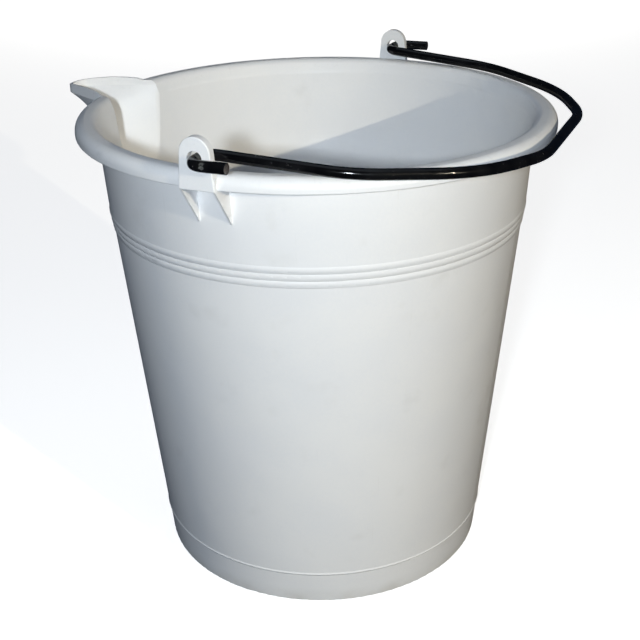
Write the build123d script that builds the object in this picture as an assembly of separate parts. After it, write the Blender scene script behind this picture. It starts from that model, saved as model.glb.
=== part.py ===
from build123d import *
from math import acos, asin, atan2, cos, degrees, hypot, radians, sin, sqrt, tan
import os

# Pouring bucket: a moulded plastic bucket with a V-shaped spout and a coated wire bail.
# Millimetres, +Z up, origin on the ground at the middle of the foot ring.
# The ears are to +Y and -Y, the spout points to -X and the bail lies folded to +X.

# Foot ring and floor
base_radius = 110.3          # outside of the foot ring on the ground
foot_height = 23.0           # height of the fine bead where the wall meets the foot ring
foot_step = 0.3              # how far the wall stands out over the foot ring there
foot_bead = 0.5              # corner of the bead beyond the wall, before it is rounded
foot_bead_height = 2.4
foot_bead_round = 0.8
foot_edge = 0.8              # rounding of the foot ring's ground edges
floor_thickness = 3.0
floor_corner = 6.0           # rounding between the floor and the inside of the wall

# Wall
wall = 2.2
body_draft = 5.2             # degrees, below the ribbed band
collar_draft = 3.5           # degrees, between the ribbed band and the rim
band_bottom = 232.0          # height where the ribbed band starts
band_height = 13.5
band_step = 2.1              # how much wider the band is at its top than at its bottom
band_rib_count = 3           # broad round ribs that fill the band
band_rib_peak = 0.95         # corner of each rib beyond the band, before it is rounded
band_rib_share = 0.8         # share of a rib's sides that the rounding of its crest takes up
band_groove_round = 0.4
band_inside_round = 80.0     # the inside takes the step of the band in smooth bends

# Rim
rim_height = 300.8           # top of the rim above the ground
rim_reach = 12.9             # outside of the rim beyond the line of the wall's outside
rim_drop = 8.8               # height of the turned-down outer skirt
rim_wall = 2.4
rim_outer_round = 6.0
rim_inner_round = 4.5
flare_height = 9.0           # from the top of the rim down to where the wall starts to lean out into it
flare_reach = 2.6            # how far the wall has leaned out of its line at the top of the rim
flare_bend = 8.0             # rounding where the lean starts
skirt_edge = 0.9             # rounding of the skirt's lower edge

# Spout
spout_reach = 45.5           # tip of the spout beyond the wall's outside
spout_half_width = 31.5      # half the spout's outside width at its root, without the lip's spread
spout_depth = 110.0          # from the rim down to where the spout runs out into the wall
spout_toe_half_width = 7.0   # half the width left at that lower end
spout_taper = 2.0            # how late the width runs out towards that end: 1 is evenly
spout_root = 3.0             # the spout's width is measured this far inside the wall
spout_tail = 60.0            # the filled spout runs this far on, before the inside is cut away
spout_nose_share = 0.32      # rounding of the spout's nose as a share of its half width
spout_flare = 1.4            # how quickly the keel leans outwards: 1 is a straight keel
spout_corner = 3.5           # blend between the spout's flanks and the wall's outside
spout_bite = 0.15            # the blends end this far under the surface that they run into
spout_toe_stand = 4.0        # least stand of the nose beyond the blends
spout_floor_lift = 1.0       # how far the channel is raised so that the sloping keel keeps its thickness
spout_levels = 10            # steps that the spout is drawn in, closer together towards the lip

# Lip of the spout
lip_arch = 2.6               # rise of the lip above the rim, half way between the wall and its tip
lip_tip_rise = 0.8           # rise of its tip above the rim
lip_edge = 4.0               # height of the upright edge at its tip, below the level of the rim
lip_drop = 13.0              # height of the flare below that edge
lip_flare = 8.0              # how far the flare leads out at the tip
lip_spread = 1.5             # how much it adds to the half width

# Ears
hinge_shift = 2.2            # hinge axis off the bucket's middle, towards the heavier spout side
hole_rise = 8.4              # middle of the ear hole above the top of the rim
ear_width = 18.2             # across the arch
ear_foot_width = 21.4        # across the lower end
ear_thickness = 4.7
ear_sink = 1.9               # the ear's inner face is this far inside the rim's outside
ear_top = 11.8               # ear's top above the middle of its hole
ear_hole_radius = 4.4
ear_edge = 0.7               # rounding of the ear's outer edges
fin_thickness = 1.4
fin_depth = 25.0             # gussets run this far down the wall below the rim's skirt

# Bail
wire_radius = 2.65           # bare steel
coat = 0.5                   # thickness of the coating
grip_overhang = 6.9          # middle of the grip beyond the rim's outside, with the bail level
arm_gap = 6.1                # between each arm and the ear's inner face
arm_bend_back = 80.0         # corner where each arm starts to turn in: this far back from the grip
arm_bend_in = 8.0            # and this far in from the arm's end at the hinge
shoulder_back = 23.0         # second corner, measured the same way
shoulder_in = 45.0
grip_in = 92.0               # last corner, at the end of the straight grip
arm_bend_radius = 70.0
shoulder_radius = 90.0
grip_radius = 60.0
hook_radius = 8.0            # bend of the hooks, at the middle of the wire
hook_gap = 4.2               # between the ear's outer face and the hook's returned end
pin_drop = 0.8               # the hooks hang this far below the middle of their holes
stub_length = 22.5           # returned end, from the hinge axis to the cut
stub_lift = 4.5              # degrees that the returned ends are bent up from the plane of the bail
rest_clearance = 0.3         # between the resting bail and the rim
rest_steps = 200             # places along an arm where that clearance is looked at

# Construction
cut_margin = 20.0            # cutting shapes run this far past what they cut


# Sizes that follow from the ones above

band_top = band_bottom + band_height
floor_top = foot_height
body_slope = tan(radians(body_draft))
collar_slope = tan(radians(collar_draft))
wall_foot_radius = base_radius + foot_height * body_slope + foot_step
band_bottom_radius = wall_foot_radius + (band_bottom - foot_height) * body_slope
band_top_radius = band_bottom_radius + band_step


def wall_outside(z):
    """Outer radius of the wall's line at height z, without the ribs and the lean into the rim."""
    if z < band_bottom:
        return wall_foot_radius + (z - foot_height) * body_slope
    if z < band_top:
        return band_bottom_radius + band_step * (z - band_bottom) / band_height
    return band_top_radius + (z - band_top) * collar_slope


rim_radius = wall_outside(rim_height) + rim_reach
skirt_bottom = rim_height - rim_drop
rim_ceiling = rim_height - rim_wall
flare_bottom = rim_height - flare_height


def flared_outside(z):
    """Outer radius of the wall at height z, where it leans out into the rim."""
    return wall_outside(z) + flare_reach * (z - flare_bottom) / flare_height


mouth_radius = flared_outside(rim_height) - wall
hole_height = rim_height + hole_rise
hinge_height = hole_height - pin_drop
ear_inside = rim_radius - ear_sink
ear_outside = ear_inside + ear_thickness
coat_radius = wire_radius + coat
bail_length = hinge_shift + rim_radius + grip_overhang
arm_spread = ear_inside - arm_gap - coat_radius
arm_bend = (bail_length - arm_bend_back, arm_spread - arm_bend_in)


def revolved(outline):
    """Solid of revolution about Z from (radius, height, corner rounding) points."""
    points = [(r, 0, z) for r, z, _ in outline]
    roundings = [rounding for _, _, rounding in outline]
    return revolve(make_face(FilletPolyline(*points, radius=roundings, close=True)), Axis.Z)


def band_outline():
    """Outside of the ribbed band from bottom to top: a round crest for each rib, a groove at each end."""
    pitch = band_height / band_rib_count
    side = hypot(pitch / 2, band_rib_peak)
    crest_round = band_rib_share * side * (pitch / 2) / band_rib_peak
    points = [(band_bottom_radius, band_bottom, band_groove_round)]
    for i in range(band_rib_count):
        groove_z = band_bottom + (i + 1) * pitch
        crest_z = groove_z - pitch / 2
        points.append((wall_outside(crest_z) + band_rib_peak, crest_z, crest_round))
        points.append((wall_outside(groove_z), groove_z, band_groove_round))
    return points


def make_shell():
    """Foot ring, floor, wall and rim as one turned shape."""
    foot_inner = base_radius - wall
    floor_under = floor_top - floor_thickness
    bead_bottom = foot_height - foot_bead_height / 2
    bead_top = foot_height + foot_bead_height / 2
    outline = [
        (0, floor_under, 0),
        (foot_inner + floor_under * body_slope, floor_under, wall),
        (foot_inner, 0, foot_edge),
        (base_radius, 0, foot_edge),
        (base_radius + bead_bottom * body_slope, bead_bottom, 0),
        (wall_foot_radius + foot_bead, foot_height, foot_bead_round),
        (wall_outside(bead_top), bead_top, 0),
        *band_outline(),
        (wall_outside(flare_bottom), flare_bottom, flare_bend),
        (flared_outside(rim_ceiling), rim_ceiling, rim_inner_round - rim_wall),
        (rim_radius - rim_wall, rim_ceiling, rim_outer_round - rim_wall),
        (rim_radius - rim_wall, skirt_bottom, skirt_edge),
        (rim_radius, skirt_bottom, skirt_edge),
        (rim_radius, rim_height, rim_outer_round),
        (mouth_radius, rim_height, rim_inner_round),
        (wall_outside(flare_bottom) - wall, flare_bottom, flare_bend),
        (band_top_radius - wall, band_top, band_inside_round),
        (band_bottom_radius - wall, band_bottom, band_inside_round),
        (wall_outside(floor_top) - wall, floor_top, floor_corner),
        (0, floor_top, 0),
    ]
    return revolved(outline)


def make_inside():
    """The space inside the wall and over the rim's crest, which the spout's lip rises from."""
    top = rim_height + cut_margin
    outline = [
        (0, floor_top, 0),
        (wall_outside(floor_top) - wall, floor_top, 0),
        (band_bottom_radius - wall, band_bottom, band_inside_round),
        (band_top_radius - wall, band_top, band_inside_round),
        (wall_outside(flare_bottom) - wall, flare_bottom, flare_bend),
        (mouth_radius, rim_height, rim_inner_round),
        (rim_radius - rim_outer_round, rim_height, 0),
        (rim_radius, rim_height + lip_arch, 0),
        (rim_radius, top, 0),
        (0, top, 0),
    ]
    return revolved(outline)


def round_curve(start, start_direction, end, end_direction, radius):
    """Smooth curve that turns from one direction to the other nearly on a circle of that radius."""
    turn = radians(start_direction.get_angle(end_direction))
    reach = 4 / 3 * tan(turn / 4) * radius
    return Bezier(start, start + start_direction * reach, end - end_direction * reach, end)


def across_middle(vector):
    """The same vector on the other side of the plane through the spout."""
    return Vector(vector.X, -vector.Y)


def spout_section(z, tip, half_width, surface, corner):
    """Level outline of the spout at height z: a round-nosed V whose flanks bend into the wall's surface."""
    nose = spout_nose_share * half_width
    surface = min(surface - spout_bite, tip - spout_toe_stand)
    root_radius = min(wall_outside(z) - wall, surface) - spout_root
    root_x = -sqrt(root_radius ** 2 - half_width ** 2)
    nose_x = -(tip - nose)
    run = root_x - nose_x
    side_angle = atan2(half_width, run) - asin(nose / hypot(run, half_width))
    along = Vector(cos(side_angle), sin(side_angle))
    across = Vector(-sin(side_angle), cos(side_angle))
    flank = Vector(nose_x, 0) + across * nose

    # A circle of radius corner rests on the flank and on the wall's surface.
    outset = flank + across * corner
    forward = outset.dot(along)
    travel = -forward - sqrt(forward ** 2 - outset.dot(outset) + (surface + corner) ** 2)
    on_flank = flank + along * travel
    outwards = (outset + along * travel).normalized()
    on_wall = outwards * surface
    along_wall = Vector(outwards.Y, -outwards.X)
    tail = Vector(root_x + spout_tail, on_wall.Y)

    nose_curve = round_curve(across_middle(flank), across_middle(along) * -1, flank, along, nose)
    blend = round_curve(on_flank, along, on_wall, along_wall, corner)
    half = [Line(flank, on_flank), blend, Line(on_wall, tail)]
    other_half = [mirror(line, Plane.XZ) for line in half]
    outline = [nose_curve, *half, Line(tail, across_middle(tail)), *other_half]
    return Pos(0, 0, z) * make_face([line.edge() for line in outline])


def spout_solid(inset, lift):
    """Spout filled in, with its walls drawn in by inset and raised by lift, carried up past the rim."""
    top_radius = wall_outside(rim_height)
    toe_radius = wall_outside(rim_height - spout_depth) - wall / 2
    keel_depth = spout_depth - lip_edge
    sections = []
    for i in range(spout_levels + 1):
        share = (i / spout_levels) ** 2
        z = rim_height - lip_edge - keel_depth * share
        flared = max(1 - keel_depth * share / lip_drop, 0) ** 2
        keel_reach = (spout_reach - lip_flare) * (1 - share) ** spout_flare
        tip = top_radius + (toe_radius - top_radius) * share + keel_reach + lip_flare * flared - inset
        narrowing = (spout_half_width - spout_toe_half_width) * share ** spout_taper
        half_width = spout_half_width - narrowing + lip_spread * flared - inset
        sections.append(spout_section(z, tip, half_width, wall_outside(z) - inset, spout_corner + inset))
    upright = extrude(sections[0], lip_edge + cut_margin, dir=(0, 0, 1))
    return Pos(0, 0, lift) * (loft(sections) + upright)


def above_lip():
    """Everything above the spout's lip, which arches from the wall to the tip."""
    wall_x = -wall_outside(rim_height)
    tip_x = wall_x - spout_reach
    tip_z = rim_height + lip_tip_rise
    top = rim_height + cut_margin
    arch = ThreePointArc((tip_x, tip_z), ((tip_x + wall_x) / 2, rim_height + lip_arch), (wall_x, rim_height))
    front_x = tip_x - cut_margin
    around = Polyline(
        (wall_x, rim_height), (0, rim_height), (0, top), (front_x, top), (front_x, tip_z), (tip_x, tip_z)
    )
    outline = make_face([arch.edge(), *around.edges()])
    return extrude(Plane.XZ * outline, 2 * rim_radius, both=True)


def make_ear():
    """The ear on the -Y side with its gussets, before the hole is cut."""
    arch_radius = ear_width / 2
    arch_height = hole_height + ear_top - arch_radius
    arch_fall = arch_height - skirt_bottom
    foot_half = ear_foot_width / 2
    touch = acos(arch_radius / hypot(foot_half, arch_fall)) - atan2(arch_fall, foot_half)
    touch_x = arch_radius * cos(touch)
    touch_z = arch_height + arch_radius * sin(touch)
    foot = make_face(Polyline(
        (-foot_half, skirt_bottom),
        (foot_half, skirt_bottom),
        (touch_x, touch_z),
        (-touch_x, touch_z),
        close=True,
    ))
    plate_face = foot + Pos(0, arch_height) * Circle(arch_radius)
    front = Plane((0, -ear_outside, 0), x_dir=(1, 0, 0), z_dir=(0, -1, 0))
    plate = extrude(front * plate_face, -ear_thickness)
    plate = fillet(plate.faces().sort_by(Axis.Y)[0].edges(), ear_edge)

    fin_bottom = skirt_bottom - fin_depth
    fin_top = rim_ceiling + rim_wall / 4
    fin_face = make_face(Polyline(
        (wall_outside(fin_bottom) - wall / 2, fin_bottom),
        (ear_outside - ear_edge, skirt_bottom),
        (ear_outside - ear_edge, fin_top),
        (flared_outside(fin_top) - wall / 2, fin_top),
        (wall_outside(flare_bottom) - wall / 2, flare_bottom),
        close=True,
    ))
    fins = []
    for right_side in (fin_thickness - foot_half, foot_half):
        side_plane = Plane((right_side, 0, 0), x_dir=(0, -1, 0), z_dir=(-1, 0, 0))
        fins.append(extrude(side_plane * fin_face, fin_thickness))
    return Pos(-hinge_shift, 0, 0) * (plate + fins)


def make_body():
    """The whole moulding."""
    spout = spout_solid(0, 0) - make_inside() - above_lip()
    channel = spout_solid(wall, spout_floor_lift)
    ear = make_ear()
    ears = ear + mirror(ear, Plane.XZ)
    hole_length = 2 * (ear_outside + cut_margin)
    hole = Pos(-hinge_shift, 0, hole_height) * Rot(90, 0, 0) * Cylinder(ear_hole_radius, hole_length)
    body = make_shell() + spout - channel
    body += ears
    return body - hole


def bail_rest_angle():
    """How far the resting bail leans below level: its arms lie on the rim's outer rounding."""
    crest = rim_radius - rim_outer_round
    apart = rim_outer_round + rest_clearance + coat_radius
    leans = []
    for i in range(1, rest_steps + 1):
        along = arm_bend[0] * i / rest_steps
        out = arm_spread - arm_bend_in * i / rest_steps
        past_crest = hypot(along - hinge_shift, out) - crest
        if 0 <= past_crest < apart:
            lowest = rim_height - rim_outer_round + sqrt(apart ** 2 - past_crest ** 2)
            fall = hinge_height - lowest
            leans.append(atan2(fall, along))
    return degrees(min(leans))


def bail_path():
    """Middle line of the bail, laid level with the hinge axis on Y."""
    stub_y = ear_outside + hook_gap + coat_radius
    half = [
        (stub_length * cos(radians(stub_lift)), stub_y, stub_length * sin(radians(stub_lift))),
        (0, stub_y, 0),
        (0, arm_spread, 0),
        (*arm_bend, 0),
        (bail_length - shoulder_back, arm_spread - shoulder_in, 0),
        (bail_length, arm_spread - grip_in, 0),
    ]
    radii = [hook_radius, hook_radius, arm_bend_radius, shoulder_radius, grip_radius]
    points = half + [(x, -y, z) for x, y, z in reversed(half)]
    return FilletPolyline(*points, radius=radii + radii[::-1])


def along_bail(path, outer, inner=0.0):
    """Round wire or tube that follows the bail's middle line, turned to its resting place."""
    start = Plane(path @ 0, z_dir=path % 0)
    ring = Circle(outer)
    if inner > 0:
        ring -= Circle(inner)
    straight = sweep(start * ring, path)
    return Pos(-hinge_shift, 0, hinge_height) * Rot(0, bail_rest_angle(), 0) * straight


path = bail_path()
nodes = {
    "bucket_body": make_body(),
    "bail_wire": along_bail(path, wire_radius),
    "bail_coating": along_bail(path, coat_radius, wire_radius),
}

os.makedirs("parts", exist_ok=True)
for name, solid in nodes.items():
    export_step(solid, f"parts/{name}.step")
    print(name, "solids", len(solid.solids()), "volume", round(solid.volume, 1))
print("rim radius", round(rim_radius, 2), "bail rest angle", round(bail_rest_angle(), 3))
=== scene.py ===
import math

import bpy
from mathutils import Matrix, Vector

# Looks of the pouring bucket: its finishes, and a camera, floor and studio light around it.
# Metres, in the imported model's frame: +Z up, ears to +Y and -Y, spout to -X, bail folded to +X.

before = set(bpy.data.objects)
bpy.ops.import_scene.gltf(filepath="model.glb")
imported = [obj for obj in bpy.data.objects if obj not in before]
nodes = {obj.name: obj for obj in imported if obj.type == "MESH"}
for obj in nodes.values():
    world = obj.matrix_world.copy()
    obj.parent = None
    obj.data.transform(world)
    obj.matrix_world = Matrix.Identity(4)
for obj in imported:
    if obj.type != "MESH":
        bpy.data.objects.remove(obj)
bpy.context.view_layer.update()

# Camera: where it stands, seen from the middle of the bucket
camera_azimuth = 23.6        # degrees round from -Y towards +X
camera_elevation = 25.11     # degrees above level
camera_roll = -1.07          # degrees
camera_distance = 0.7686
camera_target = Vector((0, 0, 0.1514))
camera_lens = 62.95          # millimetres on a film back of camera_film
camera_film = 36.0

# Floor, and a backdrop all around it: pale, and lit a little from within like a light table
floor_half = 8.0
backdrop_height = 6.0
stage_grey = 0.92
stage_glow = 0.7
stage_roughness = 0.9

# Lights: azimuth and elevation are counted as the camera's, power is in watts
warm = (1.0, 0.89, 0.68)
neutral = (1.0, 0.97, 0.9)
cool = (0.85, 0.93, 1.0)
bluish = (0.78, 0.88, 1.0)
lights = [
    dict(name="key", azimuth=61.5, elevation=18.7, distance=2.0, size=0.015, power=13.5, colour=warm),
    dict(name="lamp", azimuth=18.7, elevation=23.6, distance=0.92, size=0.04, power=4.8, colour=cool),
    dict(name="top", azimuth=0, elevation=90, distance=2.0, size=1.6, power=4.8, colour=bluish),
    dict(name="back", azimuth=203, elevation=3, distance=3.0, size=0.4, power=30.0, colour=neutral,
         glare=False),
]
sky_colour = (0.3, 0.5, 1.0, 1)
sky_strength = 0.03

# White plastic of the bucket
white_cool = (0.885, 0.89, 0.897)
white_warm = (0.915, 0.914, 0.908)
smudge_grey = (0.79, 0.785, 0.77)
dirt_colour = (0.66, 0.64, 0.6)
dirt_height = 0.012          # dust and scuffs from the ground reach about this high
rim_bottom = 0.292           # height of the lower edge of the rim's skirt
rim_crest = 0.2985           # the rim is rubbed above this height
mottle_grain = 0.05          # a grain is about the width of a pattern's patches
speckle_grain = 0.0018
patch_grain = 0.022
nick_grain = 0.003
drag_grain = 0.0012
drag_length = 60             # times its width
wall_radius = 0.13           # middle radius of the wall, which sets the scale of the drag marks around it
wave_grain = 0.03
wave_depth = 0.0004
speckle_depth = 0.00003
nick_depth = 0.00008

# Black coating of the bail
coat_dark = (0.002, 0.002, 0.0024)
coat_light = (0.006, 0.006, 0.0065)
coat_shine = 0.3             # specular level
coat_worn = (0.09, 0.088, 0.083)
# pale grey: rubbing in the ears, and painted highlight there and on each hook
coat_rubbed_and_highlight = (0.16, 0.165, 0.155)
uneven_grain = 0.012
uneven_depth = 0.00025
skin_grain = 0.0022
skin_depth = 0.00002
knock_grain = 0.0013
knock_depth = 0.00006
ear_inside = 0.148           # the hooks are rubbed between the ears' two faces, and painted lighter there as highlight
ear_outside = 0.153
ear_margin = 0.002           # and the rubbing fades out over this length
# Painted highlight: centre of a pale spot on the outside of each hook, where the lamp glints
hook_highlight_spot = (0.0071, 0.163, 0.309)
spot_core = 0.0009           # a painted highlight, a pale spot on the outside of each hook: whole within this radius
spot_edge = 0.0022           # and gone beyond this one
spot_fray = 0.001            # while its edge wanders in and out by this much

# Steel wire, bare at its two cut ends
steel_dark = (0.12, 0.098, 0.085)
steel_light = (0.24, 0.2, 0.175)
rust_colour = (0.14, 0.07, 0.04)
rust_grain = 0.0015
line_grain = 0.0003
line_stretch = (4, 8, 1)     # the shear lines run level across the cut ends
line_depth = 0.00005


def direction(azimuth, elevation):
    """Unit vector from the bucket towards a place at that azimuth and elevation, in degrees."""
    level = math.cos(math.radians(elevation))
    return Vector((
        level * math.sin(math.radians(azimuth)),
        -level * math.cos(math.radians(azimuth)),
        math.sin(math.radians(elevation)),
    ))


def facing(place, target, roll=0.0):
    """Matrix of a camera or light at place that looks at target, rolled by that many degrees."""
    back = (place - target).normalized()
    turned = back.to_track_quat("Z", "Y").to_matrix().to_4x4()
    return Matrix.Translation(place) @ turned @ Matrix.Rotation(math.radians(roll), 4, "Z")


def add_camera():
    """Camera at the photograph's viewing angle."""
    data = bpy.data.cameras.new("camera")
    data.sensor_width = camera_film
    data.lens = camera_lens
    camera = bpy.data.objects.new("camera", data)
    place = camera_target + camera_distance * direction(camera_azimuth, camera_elevation)
    camera.matrix_world = facing(place, camera_target, camera_roll)
    bpy.context.scene.collection.objects.link(camera)
    bpy.context.scene.camera = camera


def add_light(name, azimuth, elevation, distance, size, power, colour, glare=True):
    """Square light that faces the middle of the bucket. Glossy faces mirror it if it has glare."""
    data = bpy.data.lights.new(name, "AREA")
    data.shape = "SQUARE"
    data.size = size
    data.energy = power
    data.color = colour
    light = bpy.data.objects.new(name, data)
    light.matrix_world = facing(camera_target + distance * direction(azimuth, elevation), camera_target)
    light.visible_glossy = glare
    bpy.context.scene.collection.objects.link(light)


def add_sky():
    """Faint even light from all around."""
    world = bpy.data.worlds.new("studio")
    world.use_nodes = True
    background = world.node_tree.nodes["Background"]
    background.inputs["Color"].default_value = sky_colour
    background.inputs["Strength"].default_value = sky_strength
    bpy.context.scene.world = world


def stage_paint():
    """Plain pale paint of the floor and the backdrop."""
    material = bpy.data.materials.new("stage")
    material.use_nodes = True
    shader = material.node_tree.nodes["Principled BSDF"]
    shader.inputs["Base Color"].default_value = (stage_grey, stage_grey, stage_grey, 1)
    shader.inputs["Roughness"].default_value = stage_roughness
    shader.inputs["Emission Color"].default_value = (1, 1, 1, 1)
    shader.inputs["Emission Strength"].default_value = stage_glow
    return material


def add_stage(name, corners, faces, material, casts_shadow):
    """Plain surface around the bucket, which throws no light back on it."""
    mesh = bpy.data.meshes.new(name)
    mesh.from_pydata(corners, [], faces)
    mesh.materials.append(material)
    surface = bpy.data.objects.new(name, mesh)
    surface.visible_diffuse = False
    surface.visible_glossy = False
    surface.visible_shadow = casts_shadow
    bpy.context.scene.collection.objects.link(surface)


def add_floor_and_backdrop():
    """Square floor under the bucket, and four walls far around it that let the sky's light through."""
    signs = [(-1, -1), (1, -1), (1, 1), (-1, 1)]
    low = [(floor_half * x, floor_half * y, 0) for x, y in signs]
    high = [(floor_half * x, floor_half * y, backdrop_height) for x, y in signs]
    sides = len(signs)
    walls = [(side, (side + 1) % sides, (side + 1) % sides + sides, side + sides) for side in range(sides)]
    paint = stage_paint()
    add_stage("floor", low, [(0, 1, 2, 3)], paint, casts_shadow=True)
    add_stage("backdrop", low + high, walls, paint, casts_shadow=False)


class Finish:
    """A material put together from shader nodes, with its patterns measured in the object's own metres."""

    def __init__(self, name):
        self.material = bpy.data.materials.new(name)
        self.material.use_nodes = True
        self.tree = self.material.node_tree
        self.shader = self.tree.nodes["Principled BSDF"]
        self.place = self.add("ShaderNodeTexCoord").outputs["Object"]

    def add(self, kind, **settings):
        """A new node with these settings."""
        node = self.tree.nodes.new(kind)
        for name, value in settings.items():
            setattr(node, name, value)
        return node

    def put(self, socket, value):
        """Gives a socket a plain value or the output of another node."""
        if isinstance(value, bpy.types.NodeSocket):
            self.tree.links.new(value, socket)
        else:
            socket.default_value = value

    def math(self, operation, first, second=0.0):
        """Two numbers put together."""
        node = self.add("ShaderNodeMath", operation=operation)
        self.put(node.inputs[0], first)
        self.put(node.inputs[1], second)
        return node.outputs["Value"]

    def vector_math(self, operation, first, second=(0, 0, 0)):
        """Two vectors put together."""
        node = self.add("ShaderNodeVectorMath", operation=operation)
        self.put(node.inputs[0], first)
        self.put(node.inputs[1], second)
        return node.outputs["Vector"]

    def coordinate(self, axis):
        """X, Y or Z of the place on the surface."""
        node = self.add("ShaderNodeSeparateXYZ")
        self.put(node.inputs["Vector"], self.place)
        return node.outputs[axis]

    def distance(self, point):
        """Distance from a point that has a twin on the other side of the bucket."""
        node = self.add("ShaderNodeVectorMath", operation="DISTANCE")
        self.put(node.inputs[0], self.vector_math("ABSOLUTE", self.place))
        self.put(node.inputs[1], point)
        return node.outputs["Value"]

    def around(self, radius):
        """The place on the surface, drawn in to a cylinder of that radius about Z."""
        level = self.vector_math("MULTIPLY", self.place, (1, 1, 0))
        out = self.vector_math("NORMALIZE", level)
        ring = self.vector_math("MULTIPLY", out, (radius, radius, 0))
        height = self.vector_math("MULTIPLY", self.place, (0, 0, 1))
        return self.vector_math("ADD", ring, height)

    def clouds(self, grain, detail=2.0, place=None, stretch=(1, 1, 1)):
        """Cloudy pattern from 0 to 1 with patches about grain across, drawn out by stretch."""
        node = self.add("ShaderNodeTexNoise")
        scale = [1 / (grain * times) for times in stretch]
        self.put(node.inputs["Vector"], self.vector_math("MULTIPLY", place or self.place, scale))
        self.put(node.inputs["Scale"], 1.0)
        self.put(node.inputs["Detail"], detail)
        return node.outputs["Fac"]

    def step(self, value, low, high, at_low=0.0, at_high=1.0):
        """Smooth change from at_low to at_high while value goes from low to high."""
        node = self.add("ShaderNodeMapRange", interpolation_type="SMOOTHSTEP")
        limits = {"From Min": low, "From Max": high, "To Min": at_low, "To Max": at_high}
        for name, number in limits.items():
            self.put(node.inputs[name], number)
        self.put(node.inputs["Value"], value)
        return node.outputs["Result"]

    def colour_mix(self, share, first, second):
        """Colour that goes from first to second while share goes from 0 to 1."""
        node = self.add("ShaderNodeMix", data_type="RGBA")
        sockets = [socket for socket in node.inputs if socket.type == "RGBA"]
        self.put(node.inputs["Factor"], share)
        for socket, colour in zip(sockets, (first, second)):
            self.put(socket, colour if isinstance(colour, bpy.types.NodeSocket) else (*colour, 1))
        return next(socket for socket in node.outputs if socket.type == "RGBA")

    def relief(self, pattern, depth, over=None):
        """Surface relief of that depth, on top of the relief that is already there."""
        node = self.add("ShaderNodeBump")
        self.put(node.inputs["Distance"], depth)
        self.put(node.inputs["Height"], pattern)
        if over is not None:
            self.put(node.inputs["Normal"], over)
        return node.outputs["Normal"]

    def finish(self, colour, roughness, normal):
        """Ends the material: links its colour, roughness and relief to the shader."""
        self.put(self.shader.inputs["Base Color"], colour)
        self.put(self.shader.inputs["Roughness"], roughness)
        self.put(self.shader.inputs["Normal"], normal)
        return self.material


def white_plastic():
    """Moulded polyethylene: satin, faintly mottled, with a little dust, rubbing and drag marks."""
    make = Finish("white_plastic")
    height = make.coordinate("Z")
    wall_place = make.around(wall_radius)

    mottle = make.clouds(mottle_grain, detail=3.0)
    speckle = make.clouds(speckle_grain)
    drag = make.clouds(drag_grain, place=wall_place, stretch=(1, 1, drag_length))
    patches = make.clouds(patch_grain, detail=3.0)
    nicks = make.clouds(nick_grain, detail=3.0)
    waves = make.clouds(wave_grain, detail=1.0)

    tone = make.math("ADD", make.math("MULTIPLY", mottle, 0.7), make.math("MULTIPLY", speckle, 0.3))
    colour = make.colour_mix(make.step(tone, 0.35, 0.65), white_cool, white_warm)

    smudges = make.step(patches, 0.6, 0.78, 0.0, 0.35)
    colour = make.colour_mix(smudges, colour, smudge_grey)

    drag_marks = make.math("MULTIPLY", make.step(drag, 0.66, 0.74), make.step(patches, 0.5, 0.6, 0.0, 0.22))
    colour = make.colour_mix(drag_marks, colour, smudge_grey)

    near_ground = make.step(height, 0.0, dirt_height, 1.0, 0.0)
    dirt = make.math("MULTIPLY", near_ground, make.step(patches, 0.35, 0.65, 0.15, 0.6))
    colour = make.colour_mix(dirt, colour, dirt_colour)

    on_crest = make.step(height, rim_bottom, rim_crest)
    rubbed = make.math("MULTIPLY", on_crest, make.step(nicks, 0.6, 0.7, 0.0, 0.3))
    colour = make.colour_mix(rubbed, colour, smudge_grey)

    worn = make.math("ADD", make.math("ADD", drag_marks, dirt), rubbed)
    roughness = make.math("ADD", make.step(speckle, 0.3, 0.7, 0.4, 0.5), make.math("MULTIPLY", worn, 0.3))

    normal = make.relief(waves, wave_depth)
    normal = make.relief(speckle, speckle_depth, normal)
    normal = make.relief(make.math("MULTIPLY", worn, nicks), nick_depth, normal)
    return make.finish(colour, roughness, normal)


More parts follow.
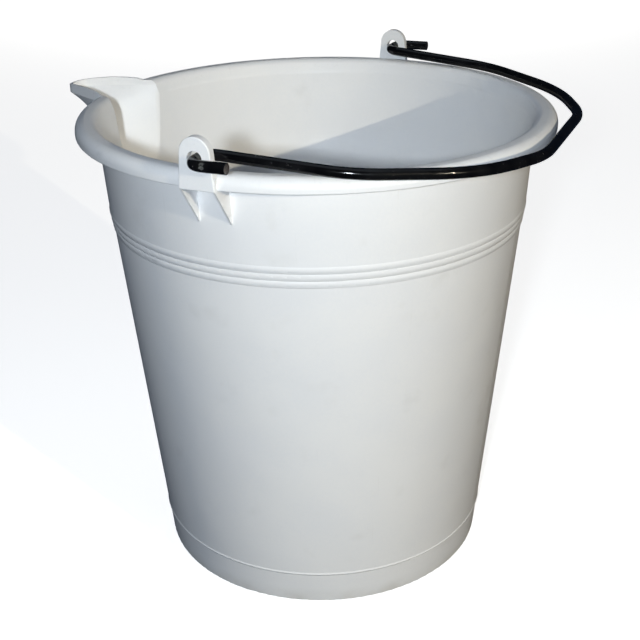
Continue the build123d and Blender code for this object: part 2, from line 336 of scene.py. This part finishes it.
def black_coating():
    """Extruded black plastic: glossy, a little uneven, specked where it has been knocked and rubbed. It has
    pale grey painted highlight on each hook and, together with real rubbing, in the ears.
    """
    make = Finish("black_coating")
    make.shader.inputs["Specular IOR Level"].default_value = coat_shine
    sideways = make.math("ABSOLUTE", make.coordinate("Y"))

    uneven = make.clouds(uneven_grain)
    skin = make.clouds(skin_grain)
    knocks = make.clouds(knock_grain, detail=4.0)

    specks = make.math("MULTIPLY", make.step(knocks, 0.66, 0.72), make.step(uneven, 0.48, 0.6))

    past_inside = make.step(sideways, ear_inside - ear_margin, ear_inside)
    before_outside = make.step(sideways, ear_outside, ear_outside + ear_margin, 1.0, 0.0)
    in_ear = make.math("MULTIPLY", past_inside, before_outside)
    fray = make.step(skin, 0.3, 0.7, -spot_fray, spot_fray)
    # painted highlight: a pale spot on the outside of each hook
    from_spot = make.math("ADD", make.distance(hook_highlight_spot), fray)
    painted_hook_highlight = make.step(from_spot, spot_core, spot_edge, 1.0, 0.0)
    wear_and_highlight = make.math("MAXIMUM", in_ear, painted_hook_highlight)
    # real rubbing in the ears, with painted highlight there and on each hook
    rubbed = make.math("MULTIPLY", wear_and_highlight, make.step(skin, 0.35, 0.6, 0.4, 0.8))
    worn = make.math("MAXIMUM", specks, rubbed)

    colour = make.colour_mix(make.step(uneven, 0.3, 0.7), coat_dark, coat_light)
    colour = make.colour_mix(specks, colour, coat_worn)
    # pale grey of the rubbing and the painted highlight
    colour = make.colour_mix(rubbed, colour, coat_rubbed_and_highlight)
    roughness = make.math("ADD", make.step(uneven, 0.3, 0.7, 0.12, 0.22), make.math("MULTIPLY", worn, 0.3))

    normal = make.relief(uneven, uneven_depth)
    normal = make.relief(skin, skin_depth, normal)
    normal = make.relief(make.math("MULTIPLY", specks, -1.0), knock_depth, normal)
    return make.finish(colour, roughness, normal)


def wire_steel():
    """Drawn steel, bare at the cut ends: dark, with shear lines, a dull sheen and a trace of rust."""
    make = Finish("wire_steel")
    make.shader.inputs["Metallic"].default_value = 1.0

    lines = make.clouds(line_grain, stretch=line_stretch)
    patches = make.clouds(rust_grain, detail=3.0)

    colour = make.colour_mix(make.step(lines, 0.35, 0.65), steel_dark, steel_light)
    rust = make.step(patches, 0.55, 0.72, 0.0, 0.45)
    colour = make.colour_mix(rust, colour, rust_colour)
    roughness = make.math("ADD", make.step(lines, 0.3, 0.7, 0.34, 0.46), make.math("MULTIPLY", rust, 0.4))

    normal = make.relief(lines, line_depth)
    return make.finish(colour, roughness, normal)


def dress(node, material):
    """Gives a CAD node its finish."""
    nodes[node].data.materials.clear()
    nodes[node].data.materials.append(material)


dress("bucket_body", white_plastic())
dress("bail_coating", black_coating())
dress("bail_wire", wire_steel())

add_camera()
add_floor_and_backdrop()
add_sky()
for light in lights:
    add_light(**light)
bpy.context.scene.view_settings.view_transform = "Standard"
